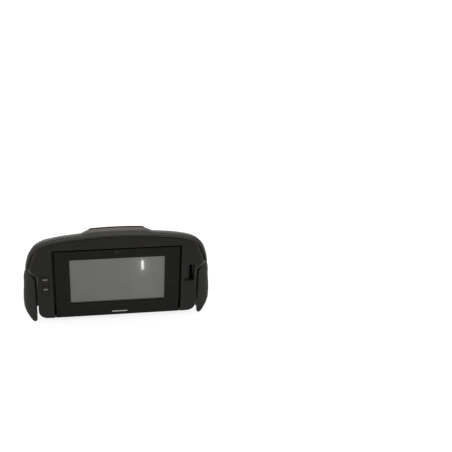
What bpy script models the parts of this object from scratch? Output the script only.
"""Hooded dashboard display unit: a wide pod with a recessed display, two keys and a card slot.

All sizes below are in millimetres, from the centre of the display's active area:
+X to the right seen from the front, +Y away from the viewer, +Z up. The front faces -Y.
An empty at the display centre lifts everything onto the ground plane, in metres.
"""
import math

import bmesh
import bpy
from mathutils import Matrix, Vector

MM = 0.001

# Driving dimensions
GROUND_DROP = 66.0          # display centre above the surface the bracket rests on
DEPTH_MIDDLE = 52.6         # display plane to the middle of the unit's depth
HOOD_WALL = 2.4
HOOD_LIP = 4.0
HOOD_DEPTH = 80.0
TONGUE_DEPTH = 104.0
TONGUE_HALF = 36.0
TONGUE_SHOULDER = 50.5
ROOF_SLOPE = 0.74           # drop per millimetre of depth, behind the level front edge
ROOF_START = 10.0           # depth where the crown starts to fall
ROOF_BLEND = 6.0
LOWER_EDGE_SHARE = 0.42     # the hood's lower edges fall by this share of the crown's drop
HUMP = 4.6                  # the raised middle of the roof, which the tongue continues
HUMP_RISE = 16.0
HOOD_NARROWING = 0.0012
CREST_SEAL_HALF = 38.0
REAR_SEAL_HALF = 46.0
FASCIA_FRONT = -1.0
FASCIA_PLATE = 2.6
FASCIA_DEPTH = 14.0
FASCIA_WALL = 2.2
FASCIA_CORNER = (118.0, 22.8)   # where the fascia's side comes out from under the hood, (x, z)
SEAM_INSET = 4.5
PANEL_GAP_HALF = 87.0       # inner edges of the two cheeks
PANEL_GAP_TOP = 53.2
BEZEL_HALF = 84.0
BEZEL_TOP = 50.8
BEZEL_BOTTOM = -59.5
BEZEL_DEPTH = 9.0
BEZEL_WALL = 1.8
BEZEL_FACE = 1.6
ACTIVE_HALF = (63.6, 35.9)  # 5.8 inch 16:9 display
SENSOR = (-1.0, 46.4)       # the ambient light sensor's lens, (x, z)
CHEEK_OUTER = 108.2
CHEEK_BOTTOM = -58.8
CHEEK_RADIUS = 12.0
WING_WALL = 2.4
WING_TOP_LEAN = 0.009       # how fast the wings lean in above the display's middle
WING_BULGE = 1.8            # how far they swell out below it
WING_TUCK = 1.2             # how far their inner edges turn in towards the cheeks' lower corners
HOUSING_WALL = 2.4
HOUSING_FRONT = 13.6
HOUSING_BACK = 78.0
HOUSING_HALF = 107.0
HOUSING_FLOOR = -60.5
KEY_X = -97.0
KEY_HALF = (4.6, 6.3)
KEY_HEIGHTS = {"upper": 5.8, "lower": -10.2}
KEY_GAP = 0.35
MARK_HALF = (3.0, 1.1)
MARK_RISE = 1.6             # middle of each key's light mark, above the key's middle
CARD_SLOT = (97.2, 105.2, -6.3, 20.2)   # opening in the fascia, x and z
CARD_X = 101.0
CARD_Z = 7.0
CARD_HALF = 14.5            # half height of the card socket
BOARD_Z = -46.0
BOARD_HALF = 90.0
BOARD_DEPTHS = (24.0, 74.0)
BOARD_TOP = BOARD_Z + 1.1   # parts stand 0.3 mm above the board's face
POSTS = [(x, y) for x in (-80, 80) for y in (30, 68)]
POWER_X = (14.0, 46.0)
POWER_Z = (-35.0, -19.0)
AERIAL_X = 66.0
AERIAL_Z = -27.0
BRACKET_Z = -66.0
BRACKET_SHEET = 1.5
BRACKET_HOLES = [(x, y) for x in (-46, 46) for y in (32, 66)]

# Upper half outline of the hood at its front edge, crown to lower edge, (x, z)
HOOD_HALF_OUTLINE = ((0, 76.0), (26, 75.3), (52, 73.2), (76, 70.3), (92, 66.8), (103, 63.0),
                     (111, 57.4), (116, 49.8), (119.2, 41.0), (121.3, 32.0), (122.3, 24.5))

# Plan of a wing from its inner front edge round to the rear, with its height there: (x, y, top, bottom)
WING_PLAN = ((111.5, 3.6, 5.0, -61.0), (112.4, 3.6, 7.4, -64.2), (114.2, 3.8, 10.6, -65.2),
             (116.4, 4.3, 14.0, -63.2), (119.2, 5.2, 17.8, -57.0), (122.0, 6.9, 18.4, -50.4),
             (124.2, 10.4, 15.0, -43.0), (124.5, 14.4, 12.4, -36.0), (122.6, 22.0, 10.2, -28.0),
             (119.4, 33.0, 7.4, -21.0), (115.4, 45.0, 4.2, -16.0))

COLOURS = {
    "hood_plastic": ((0.045, 0.045, 0.044), 0.55, 0.0),
    "fascia_plastic": ((0.022, 0.022, 0.021), 0.5, 0.0),
    "wing_plastic": ((0.025, 0.025, 0.025), 0.6, 0.0),
    "gloss_black": ((0.012, 0.012, 0.012), 0.12, 0.0),
    "display_glass": ((0.12, 0.12, 0.11), 0.15, 0.0),
    "inner_plastic": ((0.03, 0.03, 0.03), 0.6, 0.0),
    "light_mark": ((0.6, 0.6, 0.58), 0.4, 0.0),
    "smoked_lens": ((0.12, 0.12, 0.11), 0.4, 0.0),
    "steel": ((0.6, 0.6, 0.6), 0.35, 1.0),
    "aluminium": ((0.7, 0.7, 0.7), 0.4, 1.0),
    "circuit_board": ((0.02, 0.12, 0.05), 0.5, 0.0),
    "ceramic": ((0.7, 0.68, 0.6), 0.5, 0.0),
    "soft_seal": ((0.02, 0.02, 0.02), 0.9, 0.0),
    "brass": ((0.7, 0.5, 0.2), 0.3, 1.0),
    "backlight_white": ((0.8, 0.8, 0.8), 0.5, 0.0),
    "connector_blue": ((0.05, 0.12, 0.35), 0.5, 0.0),
}

for old in list(bpy.data.objects):
    bpy.data.objects.remove(old, do_unlink=True)

unit = bpy.data.collections.new("dash_display_unit")
tools = bpy.data.collections.new("cutters")
bpy.context.scene.collection.children.link(unit)
bpy.context.scene.collection.children.link(tools)
centre = bpy.data.objects.new("display_centre", None)
centre.location = (0, -DEPTH_MIDDLE * MM, GROUND_DROP * MM)
unit.objects.link(centre)


# ---------------------------------------------------------------- helpers
def material(name):
    mat = bpy.data.materials.get(name)
    if mat is None:
        colour, roughness, metallic = COLOURS[name]
        mat = bpy.data.materials.new(name)
        mat.use_nodes = True
        shader = mat.node_tree.nodes["Principled BSDF"]
        shader.inputs["Base Color"].default_value = (*colour, 1)
        shader.inputs["Roughness"].default_value = roughness
        shader.inputs["Metallic"].default_value = metallic
    return mat


def adopt(obj, mat=None):
    """File an object with the unit's parts, or with the cutters where it has no material."""
    for owner in list(obj.users_collection):
        owner.objects.unlink(obj)
    obj.parent = centre
    if mat is None:
        tools.objects.link(obj)
        obj.hide_render = True
        obj.display_type = "WIRE"
    else:
        unit.objects.link(obj)
        obj.data.materials.clear()
        obj.data.materials.append(material(mat))
    return obj


def mesh_object(name, bm, mat=None):
    bmesh.ops.recalc_face_normals(bm, faces=bm.faces)
    mesh = bpy.data.meshes.new(name)
    bm.to_mesh(mesh)
    bm.free()
    return adopt(bpy.data.objects.new(name, mesh), mat)


def box(name, x, y, z, mat=None, round_edges=0.0):
    """A block between two values on each axis, with its origin in its middle."""
    bm = bmesh.new()
    bmesh.ops.create_cube(bm, size=1)
    sizes = [abs(pair[1] - pair[0]) * MM for pair in (x, y, z)]
    bmesh.ops.scale(bm, vec=sizes, verts=bm.verts)
    if round_edges:
        bmesh.ops.bevel(bm, geom=bm.edges[:], offset=round_edges * MM, segments=2,
                        profile=0.5, affect="EDGES")
    obj = mesh_object(name, bm, mat)
    obj.location = [(pair[0] + pair[1]) / 2 * MM for pair in (x, y, z)]
    return obj


def rod(name, start, end, radius, mat=None, sides=20):
    """A cylinder from one point to another."""
    a = Vector(start) * MM
    b = Vector(end) * MM
    bm = bmesh.new()
    bmesh.ops.create_cone(bm, cap_ends=True, segments=sides, radius1=radius * MM,
                          radius2=radius * MM, depth=(b - a).length)
    turn = Vector((0, 0, 1)).rotation_difference((b - a).normalized()).to_matrix().to_4x4()
    bmesh.ops.transform(bm, matrix=turn, verts=bm.verts)
    obj = mesh_object(name, bm, mat)
    obj.location = (a + b) / 2
    smooth(obj)
    return obj


def prism(name, outline, y0, y1, mat=None, front_bevel=0.0):
    """A closed (x, z) outline given a thickness from y0 to y1: a filled 2D curve made a mesh."""
    curve = bpy.data.curves.new(name, "CURVE")
    curve.dimensions = "2D"
    curve.fill_mode = "BOTH"
    curve.extrude = (y1 - y0) / 2 * MM
    line = curve.splines.new("POLY")
    line.points.add(len(outline) - 1)
    for point, (x, z) in zip(line.points, outline):
        point.co = (x * MM, z * MM, 0, 1)
    line.use_cyclic_u = True
    guide = bpy.data.objects.new(name + "_curve", curve)
    tools.objects.link(guide)
    guide.matrix_world = (Matrix.Translation((0, (y0 + y1) / 2 * MM, 0))
                          @ Matrix.Rotation(math.pi / 2, 4, "X"))
    bpy.context.view_layer.update()
    evaluated = guide.evaluated_get(bpy.context.evaluated_depsgraph_get())
    mesh = bpy.data.meshes.new_from_object(evaluated)
    mesh.transform(guide.matrix_world)
    bpy.data.objects.remove(guide, do_unlink=True)
    bm = bmesh.new()
    bm.from_mesh(mesh)
    bpy.data.meshes.remove(mesh)
    bmesh.ops.remove_doubles(bm, verts=bm.verts, dist=0.00001)
    if front_bevel:
        front = [e for e in bm.edges if all(v.co.y < (y0 + 0.01) * MM for v in e.verts)
                 and len(e.link_faces) == 2 and e.calc_face_angle(0) > 1.0]
        bmesh.ops.bevel(bm, geom=front, offset=front_bevel * MM, segments=3, profile=0.5,
                        affect="EDGES")
    return mesh_object(name, bm, mat)


def combine(obj, other, operation):
    modifier = obj.modifiers.new(operation.lower() + "_" + other.name, "BOOLEAN")
    modifier.operation = operation
    modifier.solver = "EXACT"
    modifier.object = other
    return obj


def cut(obj, cutter):
    return combine(obj, cutter, "DIFFERENCE")


def add(obj, lump):
    return combine(obj, lump, "UNION")


def smooth(obj, degrees=32):
    obj.data.shade_smooth()
    obj.data.set_sharp_from_angle(angle=math.radians(degrees))
    return obj


def mirrored(points):
    """A half outline (x from 0 up) continued on the other side, left to right."""
    return [(-x, z) for x, z in reversed(points[1:])] + list(points)


def spline(points, steps, before=None, after=None):
    """A smooth line through points (Catmull-Rom), with some steps between neighbours.

    The points before and after the line's ends set its direction there.
    """
    ends = [before or points[0]] + list(points) + [after or points[-1]]
    line = []
    for p0, p1, p2, p3 in zip(ends, ends[1:], ends[2:], ends[3:]):
        for step in range(steps):
            t = step / steps
            line.append(tuple(
                0.5 * (2 * b + (c - a) * t + (2 * a - 5 * b + 4 * c - d) * t ** 2
                       + (3 * b - a - 3 * c + d) * t ** 3)
                for a, b, c, d in zip(p0, p1, p2, p3)))
    line.append(tuple(points[-1]))
    return line


def wire(name, points, radius, resolution, mat):
    """A round wire along points in millimetres, with filled ends."""
    curve = bpy.data.curves.new(name, "CURVE")
    curve.dimensions = "3D"
    curve.bevel_depth = radius * MM
    curve.bevel_resolution = resolution
    curve.use_fill_caps = True
    line = curve.splines.new("POLY")
    line.points.add(len(points) - 1)
    for point, where in zip(line.points, points):
        point.co = (*(Vector(where) * MM), 1)
    return adopt(bpy.data.objects.new(name, curve), mat)


def inset(line, distance, closed=False):
    """Moves an (x, z) line to its right-hand side by a distance, mitred at its corners."""
    count = len(line)
    moved = []
    for i, point in enumerate(line):
        before = line[i - 1] if closed or i else point
        after = line[(i + 1) % count] if closed or i < count - 1 else point
        normals = []
        for a, b in ((before, point), (point, after)):
            run = math.hypot(b[0] - a[0], b[1] - a[1])
            if run > 1e-6:
                normals.append(((b[1] - a[1]) / run, -(b[0] - a[0]) / run))
        nx = sum(n[0] for n in normals)
        nz = sum(n[1] for n in normals)
        scale = distance * 2 / max(nx * nx + nz * nz, 0.2) if len(normals) == 2 else distance
        moved.append((point[0] + nx * scale, point[1] + nz * scale))
    return moved


def arc(cx, cz, radius, start, end, steps):
    """Points on a circle between two angles in degrees."""
    angles = [math.radians(start + (end - start) * i / steps) for i in range(steps + 1)]
    return [(cx + radius * math.cos(a), cz + radius * math.sin(a)) for a in angles]


def screw(name, point, axis, length, head=2.6, shank=1.2):
    """A pan-head screw: its head's underside at a point, its shank running along an axis."""
    profile = ((0, 1.7), (head * 0.6, 1.55), (head, 0.9), (head, 0), (shank, 0),
               (shank, -length), (0, -length))
    bm = bmesh.new()
    verts = [bm.verts.new((x * MM, 0, z * MM)) for x, z in profile]
    for a, b in zip(verts, verts[1:]):
        bm.edges.new((a, b))
    obj = mesh_object(name, bm, "steel")
    turn = obj.modifiers.new("turned", "SCREW")
    turn.steps = turn.render_steps = 10
    turn.use_merge_vertices = True
    turn.merge_threshold = 0.00001
    obj.location = Vector(point) * MM
    obj.rotation_mode = "QUATERNION"
    obj.rotation_quaternion = Vector((0, 0, -1)).rotation_difference(Vector(axis))
    slot = box(name + "_slot", (-0.35, 0.35), (-head * 0.6, head * 0.6), (1.1, 2.2))
    slot.parent = obj
    cut(obj, slot)
    return obj


# ---------------------------------------------------------------- shared shapes
SECOND, LAST_BUT_ONE, LAST = (HOOD_HALF_OUTLINE[i] for i in (1, -2, -1))
FRONT_LINE = mirrored(spline(HOOD_HALF_OUTLINE, 3, before=(-SECOND[0], SECOND[1]),
                             after=(2 * LAST[0] - LAST_BUT_ONE[0], 2 * LAST[1] - LAST_BUT_ONE[1])))
CROWN = HOOD_HALF_OUTLINE[0][1]
LOWER_EDGE = LAST[1]


def ease(t):
    t = min(1.0, max(0.0, t))
    return t * t * (3 - 2 * t)


def crown_fall(depth):
    """How far the crown has dropped at a depth: level at the front, then a steady slope."""
    past = depth - ROOF_START
    level = -ROOF_START + math.hypot(ROOF_START, ROOF_BLEND)
    return ROOF_SLOPE * (past + math.hypot(past, ROOF_BLEND) - level) / 2


def middle_share(x):
    """1 across the hood's raised middle, falling to 0 at its shoulders."""
    return ease((TONGUE_SHOULDER - abs(x)) / (TONGUE_SHOULDER - TONGUE_HALF))


def hump(x, depth):
    return HUMP * middle_share(x) * ease(depth / HUMP_RISE)


def hood_point(x, z, depth):
    """Where a point of the hood's front outline lies at a depth behind it."""
    behind = max(depth, 0.0)
    height = max((z - LOWER_EDGE) / (CROWN - LOWER_EDGE), 0.0)
    share = LOWER_EDGE_SHARE + (1 - LOWER_EDGE_SHARE) * height
    narrowing = 1 - HOOD_NARROWING * behind
    return x * narrowing, depth, z - share * crown_fall(behind) + hump(x, behind)


def space_under_hood(name, clearance):
    """The closed space below the hood's wall, used to trim what stands under it."""
    below = -90.0
    bm = bmesh.new()
    rings = []
    for depth in (-8, 0, 5, 10, 16, 24, 40, 60, 85):
        section = [hood_point(x, z, depth) for x, z in FRONT_LINE]
        line = inset([(x, z) for x, y, z in section], HOOD_WALL * 1.3 + clearance)
        outline = line + [(line[-1][0], below), (line[0][0], below)]
        rings.append([bm.verts.new(Vector((x, depth, z)) * MM) for x, z in outline])
    for front, back in zip(rings, rings[1:]):
        for i in range(len(outline)):
            j = (i + 1) % len(outline)
            bm.faces.new((front[i], front[j], back[j], back[i]))
    bm.faces.new(rings[0])
    bm.faces.new(rings[-1])
    return mesh_object(name, bm)


def hood_back(x):
    """How far back the hood reaches: its edges stop short and the tongue in the middle runs on."""
    return HOOD_DEPTH + (TONGUE_DEPTH - HOOD_DEPTH) * middle_share(x)


def front_height(x):
    """The height of the hood's front outline at a sideways position."""
    for (x0, z0), (x1, z1) in zip(FRONT_LINE, FRONT_LINE[1:]):
        if x0 <= x <= x1:
            return z0 + (z1 - z0) * (x - x0) / (x1 - x0)
    return LOWER_EDGE


def sheet(name, rows, wall, mat, offset=-1):
    """An open surface through rows of (x, y, z) points, given a wall thickness."""
    bm = bmesh.new()
    grid = [[bm.verts.new(Vector(p) * MM) for p in row] for row in rows]
    for upper, lower in zip(grid, grid[1:]):
        for i in range(len(upper) - 1):
            bm.faces.new((upper[i], upper[i + 1], lower[i + 1], lower[i]))
    obj = mesh_object(name, bm, mat)
    shell = obj.modifiers.new("wall", "SOLIDIFY")
    shell.thickness = wall * MM
    shell.offset = offset
    shell.use_even_offset = True
    return obj


# ---------------------------------------------------------------- outer casings
def make_hood():
    """The arched shell: a rolled lip, then a roof that falls to the rear and ends in a tongue."""
    lip = ((0.2, HOOD_LIP), (-1.3, 3.0), (-1.8, 1.9), (-1.2, 0.7), (1.0, 0.0))
    rows = []
    for depth, inward in lip:
        rows.append([(x, depth, z) for x, z in inset(FRONT_LINE, inward)])
    roof_start = lip[-1][0]
    steps = 10
    for step in range(1, steps + 1):
        share = (step / steps) ** 1.6
        rows.append([hood_point(x, z, roof_start + (hood_back(x) - roof_start) * share)
                     for x, z in FRONT_LINE])
    return smooth(sheet("hood", rows, HOOD_WALL, "hood_plastic"), 50)


def make_rear_seal():
    """A soft strip along the rear edge of the tongue."""
    line = [hood_point(x, z, hood_back(x)) for x, z in FRONT_LINE if abs(x) <= REAR_SEAL_HALF]
    rows = []
    for back, down in ((0.4, 0.2), (2.6, 1.0), (3.0, 3.6)):
        rows.append([(x, y + back, z - down) for x, y, z in line])
    return smooth(sheet("hood_rear_seal", rows, 1.2, "soft_seal"), 50)


def make_crest_seal():
    """A soft strip across the crest of the hump, which closes the gap to the dashboard's top."""
    steps = 12
    sides = [CREST_SEAL_HALF * (2 * i / steps - 1) for i in range(steps + 1)]
    rows = []
    for depth in (15.6, 17.0, 18.4):
        line = [hood_point(x, front_height(x), depth) for x in sides]
        rows.append([(x, y + 0.2, z + 0.35) for x, y, z in line])
    return smooth(sheet("crest_seal", rows, 1.3, "soft_seal", offset=1), 50)


def fascia_outline():
    """The inverted U, clockwise: over the top, down the right cheek, round the display's gap."""
    seam = [p for p in inset(FRONT_LINE, SEAM_INSET) if p[1] > LOWER_EDGE + 2]
    right = [FASCIA_CORNER, (CHEEK_OUTER + 6.2, 14.4), (CHEEK_OUTER + 1.2, 10.8), (CHEEK_OUTER, 5.5)]
    right += arc(CHEEK_OUTER - CHEEK_RADIUS, CHEEK_BOTTOM + CHEEK_RADIUS, CHEEK_RADIUS, 0, -80, 4)
    right += [(PANEL_GAP_HALF, CHEEK_BOTTOM), (PANEL_GAP_HALF, PANEL_GAP_TOP)]
    left = [(-x, z) for x, z in reversed(right)]
    return seam + right + left


def make_fascia():
    outline = fascia_outline()
    back = FASCIA_FRONT + FASCIA_DEPTH
    fascia = prism("front_fascia", outline, FASCIA_FRONT, back, "fascia_plastic", 1.2)
    hollow = prism("fascia_hollow", inset(outline, FASCIA_WALL, closed=True),
                   FASCIA_FRONT + FASCIA_PLATE, back + 5)
    cut(fascia, hollow)
    combine(fascia, space_under_hood("fascia_limit", 1.0), "INTERSECT")
    half_x, half_z = (half + KEY_GAP for half in KEY_HALF)
    for name, height in KEY_HEIGHTS.items():
        cut(fascia, box(name + "_key_hole", (KEY_X - half_x, KEY_X + half_x), (-5, 4),
                        (height - half_z, height + half_z)))
    x0, x1, z0, z1 = CARD_SLOT
    add(fascia, box("card_tunnel", (x0 - 1.6, x1 + 1.6), (0.5, 8.6), (z0 - 1.6, z1 + 1.6)))
    for side in (-1, 1):
        edges = sorted((side * (BEZEL_HALF + 0.4), side * (PANEL_GAP_HALF + 1)))
        add(fascia, box("gap_floor", edges, (0.9, 9.4), (CHEEK_BOTTOM + 0.05, CHEEK_BOTTOM + 2.0)))
    scoop_radius = 14.2
    scoop_depth = 2.2
    scoop_y = FASCIA_FRONT - scoop_radius + scoop_depth
    cut(fascia, rod("card_scoop", (x0, scoop_y, z0), (x0, scoop_y, z1), scoop_radius, sides=64))
    cut(fascia, box("card_slot_hole", (x0, x1), (-5, 12), (z0, z1)))
    return smooth(fascia)


def make_wing(side):
    """One side wing: an ear facing forwards beside the cheek, wrapped back along the unit's side."""
    inner = WING_PLAN[0][0]
    levels = 8
    rows = []
    for level in range(levels + 1):
        share = level / levels
        row = []
        for x, y, top, bottom in WING_PLAN:
            z = bottom + (top - bottom) * share
            outward = (x - inner) / 13
            shift = WING_BULGE * ease(-z / 30) - WING_TOP_LEAN * max(z, 0.0) ** 2
            tuck = WING_TUCK * ease((-z - 28) / 30) * max(1 - 2 * outward, 0.0)
            row.append((side * (x + shift * outward - tuck), y, z))
        rows.append(row)
    name = ("left" if side < 0 else "right") + "_wing"
    return smooth(sheet(name, rows, WING_WALL, "wing_plastic", offset=0), 50)


def housing_outline(half, floor, top):
    """The housing's section: upright sides whose lower parts slope in to the floor."""
    right = [(half, top), (half, -22.0), (half - 15, floor)]
    return right + [(-x, z) for x, z in reversed(right)]


def make_housing():
    """The tub behind the fascia: posts for the board, vents, openings for the connectors."""
    outer = housing_outline(HOUSING_HALF, HOUSING_FLOOR, 60.0)
    housing = prism("lower_housing", outer, HOUSING_FRONT, HOUSING_BACK, "inner_plastic")
    inner = housing_outline(HOUSING_HALF - HOUSING_WALL, HOUSING_FLOOR + HOUSING_WALL, 80.0)
    cut(housing, prism("housing_hollow", inner, HOUSING_FRONT - 5, HOUSING_BACK - HOUSING_WALL))
    add(housing, box("housing_chin", (-86.6, 86.6), (9.9, HOUSING_FRONT + 1), (HOUSING_FLOOR + 0.01, -50)))
    for side in (-1, 1):
        edges = sorted((side * (HOUSING_HALF - 1.2), side * 121.0))
        add(housing, box("housing_flange", edges, (14.4, 16.6), (-48.0, 60.0)))
    through_back = (HOUSING_BACK - 8, HOUSING_BACK + 12)
    for number in range(4):
        x = -62 + 12 * number
        cut(housing, box(f"rear_vent_{number}", (x, x + 5), through_back, (-16, 8)))
    cut(housing, box("power_opening", (POWER_X[0] - 0.3, POWER_X[1] + 0.3), through_back,
                     (POWER_Z[0] - 0.3, POWER_Z[1] + 0.3)))
    cut(housing, rod("antenna_opening", (AERIAL_X, through_back[0], AERIAL_Z),
                     (AERIAL_X, through_back[1], AERIAL_Z), 5.6, sides=24))
    for x, y in POSTS:
        add(housing, rod("board_post", (x, y, HOUSING_FLOOR + 1), (x, y, BOARD_Z - 1.1), 3.4))
        cut(housing, rod("board_post_hole", (x, y, BOARD_Z - 9), (x, y, BOARD_Z + 1), 1.5, sides=12))
    for x, y in BRACKET_HOLES:
        cut(housing, rod("bracket_hole", (x, y, -70), (x, y, -50), 1.7, sides=12))
    combine(housing, space_under_hood("housing_limit", 1.2), "INTERSECT")
    return housing


def make_bracket():
    """A bent steel plate under the housing: a raised middle and two feet with fixing holes."""
    top = HOUSING_FLOOR - 0.3 - BRACKET_SHEET
    line = [(-76, BRACKET_Z), (-58, BRACKET_Z), (-54, top), (54, top), (58, BRACKET_Z), (76, BRACKET_Z)]
    outline = line + [(x, z + BRACKET_SHEET) for x, z in reversed(line)]
    bracket = prism("mounting_bracket", outline, 24, 74, "steel")
    for x, y in BRACKET_HOLES:
        cut(bracket, rod("bracket_screw_hole", (x, y, -70), (x, y, -50), 1.7, sides=12))
    for x in (-67, 67):
        for y in (33, 65):
            cut(bracket, rod("fixing_hole", (x, y, -70), (x, y, -60), 2.6, sides=20))
    return bracket


def make_clip(side):
    """A sprung steel leaf on the housing's side that grips the dashboard's opening."""
    x = HOUSING_HALF + 0.3
    leaf = 0.9
    line = [(x, 0.0), (x + leaf, 0.0), (x + leaf, -17.0), (x + 4.3, -5.0), (x + 4.3 + leaf, -5.2),
            (x + 1.3, -20.5), (x, -20.8)]
    name = ("left" if side < 0 else "right") + "_spring_clip"
    return prism(name, [(side * a, b) for a, b in line], 46, 60, "steel")


# ---------------------------------------------------------------- display
def frame_plate(name, half, opening, y, mat, middle=0.0):
    plate = box(name, (-half[0], half[0]), y, (middle - half[1], middle + half[1]), mat)
    cut(plate, box(name + "_window", (-opening[0], opening[0]), (y[0] - 2, y[1] + 2),
                   (-opening[1], opening[1])))
    return plate


def display_screws():
    return [(x, z) for x in (-76, 76) for z in (-30, 30)]


def make_bezel():
    """The glossy front panel: a tray with the display's window and four screw posts behind."""
    sensor_x, sensor_z = SENSOR
    window = (ACTIVE_HALF[0] + 0.5, ACTIVE_HALF[1] + 0.5)
    bezel = box("display_bezel", (-BEZEL_HALF, BEZEL_HALF), (0, BEZEL_DEPTH),
                (BEZEL_BOTTOM, BEZEL_TOP), "gloss_black", 0.7)
    cut(bezel, box("bezel_hollow", (-BEZEL_HALF + BEZEL_WALL, BEZEL_HALF - BEZEL_WALL),
                   (BEZEL_FACE, BEZEL_DEPTH + 5), (BEZEL_BOTTOM + BEZEL_WALL, BEZEL_TOP - BEZEL_WALL)))
    cut(bezel, box("bezel_window", (-window[0], window[0]), (-5, 5), (-window[1], window[1])))
    cut(bezel, rod("sensor_hole", (sensor_x, -5, sensor_z), (sensor_x, 5, sensor_z), 1.5, sides=16))
    for x, z in display_screws():
        add(bezel, rod("bezel_post", (x, 1.0, z), (x, 9.5, z), 2.6, sides=16))
        cut(bezel, rod("bezel_post_hole", (x, 3.5, z), (x, 12, z), 1.15, sides=12))
    rod("light_sensor_lens", (sensor_x, 0.2, sensor_z), (sensor_x, 3.2, sensor_z), 1.2, "smoked_lens", 16)


def make_display():
    """The display's layers, front to back, in a pressed steel frame screwed to the bezel."""
    box("touch_panel", (-69, 69), (1.9, 3.0), (-41, 41), "display_glass")
    frame_plate("display_gasket", (69, 41), (65, 37.5), (3.3, 4.0), "soft_seal")
    box("lcd_cell", (-68, 68), (4.3, 5.9), (-40, 40), "gloss_black")
    box("backlight_unit", (-68.5, 68.5), (6.2, 9.6), (-40.5, 40.5), "backlight_white")
    frame = box("display_frame", (-70, 70), (6.2, 11.0), (-42, 42), "steel")
    cut(frame, box("display_frame_hollow", (-69.1, 69.1), (0, 10.1), (-41.1, 41.1)))
    for number, (x, z) in enumerate(display_screws(), 1):
        ends = sorted((x * 0.85, x + math.copysign(3.4, x)))
        add(frame, box("frame_ear", ends, (10.25, 10.85), (z - 3.5, z + 3.5)))
        cut(frame, rod("frame_ear_hole", (x, 8, z), (x, 14, z), 1.4, sides=12))
        screw(f"display_screw_{number}", (x, 11.3, z), (0, -1, 0), 5.5, head=2.2, shank=0.9)


# ---------------------------------------------------------------- electronics
def make_main_board():
    board = box("main_board", (-BOARD_HALF, BOARD_HALF), BOARD_DEPTHS, (BOARD_Z - 0.8, BOARD_Z + 0.8),
                "circuit_board")
    for number, (x, y) in enumerate(POSTS, 1):
        cut(board, rod("board_hole", (x, y, BOARD_Z - 5), (x, y, BOARD_Z + 5), 1.6, sides=12))
        screw(f"board_screw_{number}", (x, y, BOARD_TOP), (0, 0, -1), 8.5, shank=1.1)


def make_cooling():
    """The processor's shield, with a soft pad and a finned spreader on top of it."""
    can_height = 4.0
    wall = 0.4
    can_x, can_y = (-40, 4), (32, 66)
    can = box("shield_can", can_x, can_y, (BOARD_TOP, BOARD_TOP + can_height), "steel")
    cut(can, box("shield_can_hollow", (can_x[0] + wall, can_x[1] - wall), (can_y[0] + wall, can_y[1] - wall),
                 (BOARD_TOP - 5, BOARD_TOP + can_height - wall)))
    pad_low = BOARD_TOP + can_height + 0.3
    plate_low = pad_low + 1.5
    box("thermal_pad", (-30, -6), (40, 58), (pad_low, pad_low + 1.2), "soft_seal")
    sink = box("heat_spreader", (-44, 8), (28, 70), (plate_low, plate_low + 1.8), "aluminium")
    for number in range(7):
        x = -40 + 7 * number
        add(sink, box(f"fin_{number}", (x, x + 1.6), (30, 68), (plate_low + 1.2, plate_low + 8.2)))


def make_flex():
    """The flat lead from the display down to its socket on the board, bent once."""
    half = 10
    ribbon = [(-half, -27.5), (half, -27.5), (half, -45), (-half, -45)]
    flex = prism("display_flex", ribbon, 13.0, 13.3, "brass")
    add(flex, box("flex_tail", (-half, half), (13.1, 27.0), (BOARD_TOP + 0.4, BOARD_TOP + 0.7)))
    box("flex_socket", (-half - 2, half + 2), (27.3, 31.0), (BOARD_TOP, BOARD_TOP + 2.2), "inner_plastic")


def make_gps_antenna():
    """A square ceramic antenna on its small board, tilted like the roof above it."""
    tilt = math.atan(ROOF_SLOPE)
    middle_y, middle_z = 56.0, 29.0
    rise = 3.0
    plate = box("gps_antenna_base", (-16, 16), (middle_y - 12, middle_y + 12),
                (middle_z - 0.7, middle_z + 0.7), "circuit_board")
    middle_y += rise * math.sin(tilt)
    middle_z += rise * math.cos(tilt)
    patch = box("gps_patch", (-12.5, 12.5), (middle_y - 12, middle_y + 12),
                (middle_z - 1.9, middle_z + 1.9), "ceramic")
    for piece in (plate, patch):
        piece.rotation_euler = (-tilt, 0, 0)


def make_gps_cable():
    """A thin coaxial lead from the antenna base down to the main board."""
    route = [(0, 58, 25.2), (6, 60, 20), (16, 60, 8), (28, 58, -8), (38, 54, -24), (42, 50, -38),
             (42, 48, BOARD_Z + 1.4)]
    return wire("gps_cable", spline(route, 4), 0.7, 2, "inner_plastic")


def make_power_connector():
    """A moulded socket with two rows of pins, standing on the board and open to the rear."""
    rim = 1.6
    low_x, high_x = POWER_X
    low_z, high_z = POWER_Z
    shell = box("power_connector", POWER_X, (60, 84), POWER_Z, "inner_plastic")
    cut(shell, box("power_socket", (low_x + rim, high_x - rim), (68, 90), (low_z + rim, high_z - rim)))
    cut(shell, box("power_pin_slot", (low_x + 3.7, high_x - 3.7), (50, 70), (low_z + 3.7, high_z - 3.7)))
    add(shell, box("power_connector_foot", (low_x + 2, high_x - 2), (60, 66), (BOARD_TOP, low_z + 1)))
    pins = box("power_pins", (low_x + 4, high_x - 4), (63, 67.7), (low_z + 4, high_z - 4), "brass")
    for column in range(5):
        for row in range(2):
            x = low_x + 6 + column * 5
            z = low_z + 5.4 + row * 5.2
            add(pins, box("pin", (x - 0.5, x + 0.5), (66, 78), (z - 0.5, z + 0.5)))


def make_antenna_connector():
    def along(name, y0, y1, radius, mat=None, sides=12):
        return rod(name, (AERIAL_X, y0, AERIAL_Z), (AERIAL_X, y1, AERIAL_Z), radius, mat, sides)

    socket = along("antenna_connector", 58, 86, 5.2, "connector_blue", 24)
    cut(socket, along("antenna_socket", 70, 92, 3.8, sides=24))
    cut(socket, along("antenna_pin_hole", 60, 75, 1.1))
    add(socket, box("antenna_foot", (AERIAL_X - 4, AERIAL_X + 4), (58, 66), (BOARD_TOP, AERIAL_Z - 3)))
    along("antenna_pin", 61, 80, 0.8, "brass")


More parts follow.
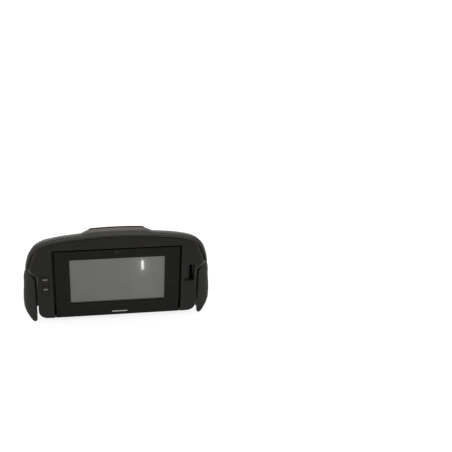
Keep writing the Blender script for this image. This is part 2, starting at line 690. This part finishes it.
# ---------------------------------------------------------------- keys and card
def make_key(name, height):
    """A key cap with a flange behind the fascia, its light mark, and the switch it presses."""
    x = (KEY_X - KEY_HALF[0], KEY_X + KEY_HALF[0])
    z = (height - KEY_HALF[1], height + KEY_HALF[1])
    flange = 0.9
    key = box(name + "_key", x, (-1.5, 2.2), z, "fascia_plastic", 0.5)
    add(key, box(name + "_key_flange", (x[0] - flange, x[1] + flange), (2.0, 3.0),
                 (z[0] - flange, z[1] + flange)))
    add(key, box(name + "_key_stem", (KEY_X - 1.5, KEY_X + 1.5), (2.5, 6.0), (height - 1.5, height + 1.5)))
    mark_x = (KEY_X - MARK_HALF[0], KEY_X + MARK_HALF[0])
    mark_z = (height + MARK_RISE - MARK_HALF[1], height + MARK_RISE + MARK_HALF[1])
    cut(key, box(name + "_mark_hole", (mark_x[0] - 0.3, mark_x[1] + 0.3), (-3, 0.6),
                 (mark_z[0] - 0.3, mark_z[1] + 0.3)))
    box(name + "_key_light_pipe", mark_x, (-1.4, 0.3), mark_z, "smoked_lens")
    switch = box(name + "_switch", (KEY_X - 3, KEY_X + 3), (7.8, 10.9), (height - 3, height + 3),
                 "inner_plastic")
    cut(switch, rod(name + "_switch_bore", (KEY_X, 5, height), (KEY_X, 10.0, height), 1.7, sides=16))
    rod(name + "_switch_plunger", (KEY_X, 6.3, height), (KEY_X, 8.8, height), 1.3, "light_mark", 16)


def make_key_board():
    box("key_board", (KEY_X - 8.8, KEY_X + 7.2), (11.2, 12.6), (-24, 18), "circuit_board")


def make_card_socket():
    """The card's channel behind the slot, closed by a steel cover, with a sprung slider inside."""
    z = (CARD_Z - CARD_HALF, CARD_Z + CARD_HALF)
    socket = box("card_socket", (CARD_X - 3.4, CARD_X + 1.4), (9.3, 46.0), z, "inner_plastic")
    add(socket, box("card_socket_flange", (CARD_X - 5.4, CARD_X + 4.8), (9.0, 10.5),
                    (z[0] + 0.4, z[1] - 0.4)))
    cut(socket, box("card_channel", (CARD_X - 1.4, CARD_X + 1.9), (5, 44.0), (z[0] + 1.8, z[1] - 1.8)))
    box("card_socket_cover", (CARD_X + 2.2, CARD_X + 2.6), (10.8, 45.6), z, "steel")
    box("card_slider", (CARD_X - 1.0, CARD_X + 1.2), (24.0, 30.0), (z[0] + 2.3, z[1] - 2.3),
        "inner_plastic")


def make_card_spring():
    """A light coil spring between the slider and the back of the socket's channel."""
    radius = 0.75
    start, end = 30.5, 43.5
    per_turn = 8
    count = 7 * per_turn
    points = []
    for i in range(count + 1):
        angle = 2 * math.pi * i / per_turn
        points.append((CARD_X + 0.1 + radius * math.cos(angle), start + (end - start) * i / count,
                       CARD_Z + 6 + radius * math.sin(angle)))
    return wire("card_spring", points, 0.2, 1, "steel")


def make_bracket_screws():
    for number, (x, y) in enumerate(BRACKET_HOLES, 1):
        screw(f"bracket_screw_{number}", (x, y, HOUSING_FLOOR - 2.1), (0, 0, 1), 4.5, shank=1.35)


make_hood()
make_rear_seal()
make_crest_seal()
make_fascia()
for side in (-1, 1):
    make_wing(side)
    make_clip(side)
make_housing()
make_bracket()
make_bezel()
make_display()
make_main_board()
make_cooling()
make_flex()
make_gps_antenna()
make_gps_cable()
make_power_connector()
make_antenna_connector()
for key_name, key_height in KEY_HEIGHTS.items():
    make_key(key_name, key_height)
make_key_board()
make_card_socket()
make_card_spring()
make_bracket_screws()
bpy.context.view_layer.update()
